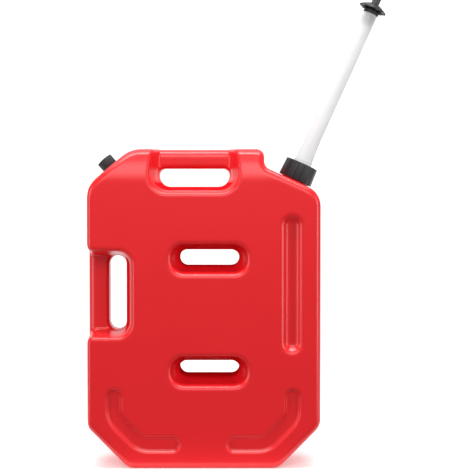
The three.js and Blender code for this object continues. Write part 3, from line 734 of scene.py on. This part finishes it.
class FitStopper(bpy.types.Operator):
    """Fit the stopper: plug, toothed collar, lobed wheel and stem"""

    bl_idname = "fuel_can.fit_stopper"
    bl_label = "Fit the stopper"

    def execute(self, context):
        sizes = context.scene.fuel_can_spout
        finish = black_polypropylene(sizes)
        tip = reach("spout_tube", POUR)[1]
        low, high = reach("spout_stopper", POUR)
        collar = tip + 0.3
        wheel = collar + 8
        crown = wheel + 12
        lobes = sizes.lobes
        core = turned(eased([
            (0.01, low), (10.6, low, 1.5), (10.6, collar), (13.4, collar), (13.4, crown - 3, 0.3),
            (7.6, crown - 1, 1), (7.6, high, 2.5), (0.01, high),
        ], 0.4), 96)

        def lobed(angle, index, r):
            share = min(1, max(0, (r - 9) / 16))
            return r * (1 + 0.06 * share * math.cos(lobes * angle))

        dome = turned(eased([
            (23.4, wheel), (25.4, wheel + 0.4), (25.2, wheel + 3.4), (19.5, wheel + 7.6, 3),
            (12.8, crown - 1.2, 3), (7.2, crown + 0.2), (7, crown - 3), (12, crown - 4.2, 3),
            (18.4, wheel + 4.6, 3),
        ], 0.7), 192, lobed)
        pieces = [core, dome]
        for i in range(lobes * 2):
            angle = 2 * math.pi * (i + 0.5) / (lobes * 2)
            turn = Matrix.Rotation(angle, 4, "Z")
            pieces.append(rib(turn, 12.6, 15.0, 1.5, collar, wheel + 3))
        for i in range(lobes):
            turn = Matrix.Rotation(2 * math.pi * (i + 0.5) / lobes, 4, "Z")
            pieces.append(rib(turn, 13, 22.2, 0.9, wheel + 0.8, wheel + 5))
        stopper = show(
            "stopper", *together(*pieces), "stopper", finish, "black_polypropylene", POUR)
        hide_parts("spout_stopper")
        make_rubber("stopper_seal")
        return {"FINISHED"}


def rib(turn, inner, outer, half, low, high):
    """A small upright rib with a rounded outer edge, set by a turn about Z."""
    section = [(inner, -half), (outer - half * 0.6, -half), (outer, -half * 0.4),
               (outer, half * 0.4), (outer - half * 0.6, half), (inner, half)]
    points = [turn @ Vector((x, y, z)) for z in (low, high) for x, y in section]
    count = len(section)
    faces = [tuple(range(count))[::-1], tuple(range(count, 2 * count))]
    faces += [(i, (i + 1) % count, (i + 1) % count + count, i + count) for i in range(count)]
    return [tuple(p) for p in points], faces


class FitVentCap(bpy.types.Operator):
    """Fit the small fluted vent cap and its seal"""

    bl_idname = "fuel_can.fit_vent_cap"
    bl_label = "Fit the vent cap"

    def execute(self, context):
        sizes = context.scene.fuel_can_spout
        low, high = reach("vent_cap", VENT)
        radius = girth("vent_cap", VENT)
        profile = eased([
            (CAP_ROOT, low), (radius, low, 0.6), (radius, high - 1.6, 1.2), (radius * 0.5, high, 4),
            (0.01, high), (0.01, high - 3), (CAP_ROOT, high - 3),
        ], 0.4)

        def flutes(angle, index, r):
            if r < radius * 0.96:
                return r
            return r - 0.45 * (0.5 - 0.5 * math.cos(CAP_FLUTES * angle)) ** 2

        body = together(turned(profile, 288, flutes), thread(CAP_ROOT, CAP_CREST, VENT_PITCH, 6, 2))
        cap = show(
            "vent_screw_cap", *body, "vent_screw_cap", black_polypropylene(sizes),
            "black_polypropylene", VENT)
        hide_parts("vent_cap")
        make_rubber("vent_seal")
        return {"FINISHED"}


# ---- The studio ------------------------------------------------------------------------------

def softbox(name, place, target, width, height, power):
    """Adds a rectangular area light that faces a target, with sizes in metres."""
    light = bpy.data.lights.new(name, "AREA")
    light.shape = "RECTANGLE"
    light.size, light.size_y = width, height
    light.energy = power
    lamp = bpy.data.objects.new(name, light)
    lamp.location = place
    lamp.rotation_euler = (Vector(target) - Vector(place)).to_track_quat("-Z", "Y").to_euler()
    bpy.context.scene.collection.objects.link(lamp)


class SetStage(bpy.types.Operator):
    """Set up the pale floor, the softboxes and the camera"""

    bl_idname = "fuel_can.set_stage"
    bl_label = "Set the stage"

    def execute(self, context):
        settings = context.scene.fuel_can_stage
        camera_data = bpy.data.cameras.new("Camera")
        camera_data.lens = settings.lens
        camera = bpy.data.objects.new("Camera", camera_data)
        camera.location = (settings.side, -settings.distance, settings.height)
        # The view is centred a little below the camera's own height.
        drop = math.atan2(0.0501, settings.distance)
        camera.rotation_euler = (math.pi / 2 - drop, 0, -0.0026)
        context.scene.collection.objects.link(camera)
        context.scene.camera = camera

        world = bpy.data.worlds.new("Studio")
        world.use_nodes = True
        backdrop = world.node_tree.nodes["Background"]
        backdrop.inputs["Color"].default_value = (1, 1, 1, 1)
        backdrop.inputs["Strength"].default_value = settings.room
        context.scene.world = world
        context.scene.view_settings.view_transform = "Standard"

        floor_mesh = bpy.data.meshes.new("Floor")
        curve = [(-0.105, 0), (2.5, 0)]
        sweep = np.linspace(0.1, math.pi / 2, 16)
        curve += [(2.5 + 1.2 * math.sin(a), 1.2 - 1.2 * math.cos(a)) for a in sweep]
        curve += [(3.7, 3.2)]
        across = [(x, y, z) for y, z in curve for x in (-3.4, 3.4)]
        quads = [(i, i + 1, i + 3, i + 2) for i in range(0, len(across) - 2, 2)]
        floor_mesh.from_pydata(across, [], quads)
        floor_mesh.shade_smooth()
        floor = bpy.data.objects.new("Floor", floor_mesh)
        context.scene.collection.objects.link(floor)
        paper, _, shader, _ = material("Matt white paper")
        shader.inputs["Base Color"].default_value = linear("#F6F6F6")
        shader.inputs["Roughness"].default_value = 0.9
        shader.inputs["Emission Color"].default_value = (1, 1, 1, 1)
        shader.inputs["Emission Strength"].default_value = settings.table_glow
        floor_mesh.materials.append(paper)

        aim = (0, 0, 0.35)
        softbox("Overhead softbox", (0, -0.35, 2.1), aim, 2.0, 0.3, settings.overhead)
        softbox("Front softbox", (0, -2.6, 1.9), aim, 2.4, 1.2, settings.front)
        for side in (-1, 1):
            softbox("Side softbox", (side * 1.9, -0.9, 0.6), aim, 0.3, 1.5, settings.side_boxes)
        softbox("Paper light", (0, 1.4, 3.4), (0, 3.2, 0.4), 5, 2, settings.paper)
        return {"FINISHED"}


class FuelCanPanel(bpy.types.Panel):
    """The can's pieces, in the order they are built"""

    bl_idname = "VIEW3D_PT_fuel_can"
    bl_label = "Fuel can"
    bl_space_type = "VIEW_3D"
    bl_region_type = "UI"
    bl_category = "Fuel can"

    def draw(self, context):
        for operator in OPERATORS:
            self.layout.operator(operator.bl_idname)


SETTINGS = {
    "fuel_can_tank": TankSizes, "fuel_can_spout": SpoutSizes, "fuel_can_stage": StageSettings}
OPERATORS = (SetStage, MouldTank, FitRingNut, FitSpout, FitStopper, FitVentCap)


def register():
    for cls in (*SETTINGS.values(), *OPERATORS, FuelCanPanel):
        bpy.utils.register_class(cls)
    for name, cls in SETTINGS.items():
        setattr(bpy.types.Scene, name, bpy.props.PointerProperty(type=cls))


def unregister():
    for name in SETTINGS:
        delattr(bpy.types.Scene, name)
    for cls in (FuelCanPanel, *reversed(OPERATORS), *SETTINGS.values()):
        bpy.utils.unregister_class(cls)


def main():
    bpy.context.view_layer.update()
    register()
    bpy.ops.fuel_can.set_stage()
    bpy.ops.fuel_can.mould_tank()
    bpy.ops.fuel_can.fit_ring_nut()
    bpy.ops.fuel_can.fit_spout()
    bpy.ops.fuel_can.fit_stopper()
    bpy.ops.fuel_can.fit_vent_cap()


if __name__ == "__main__":
    main()
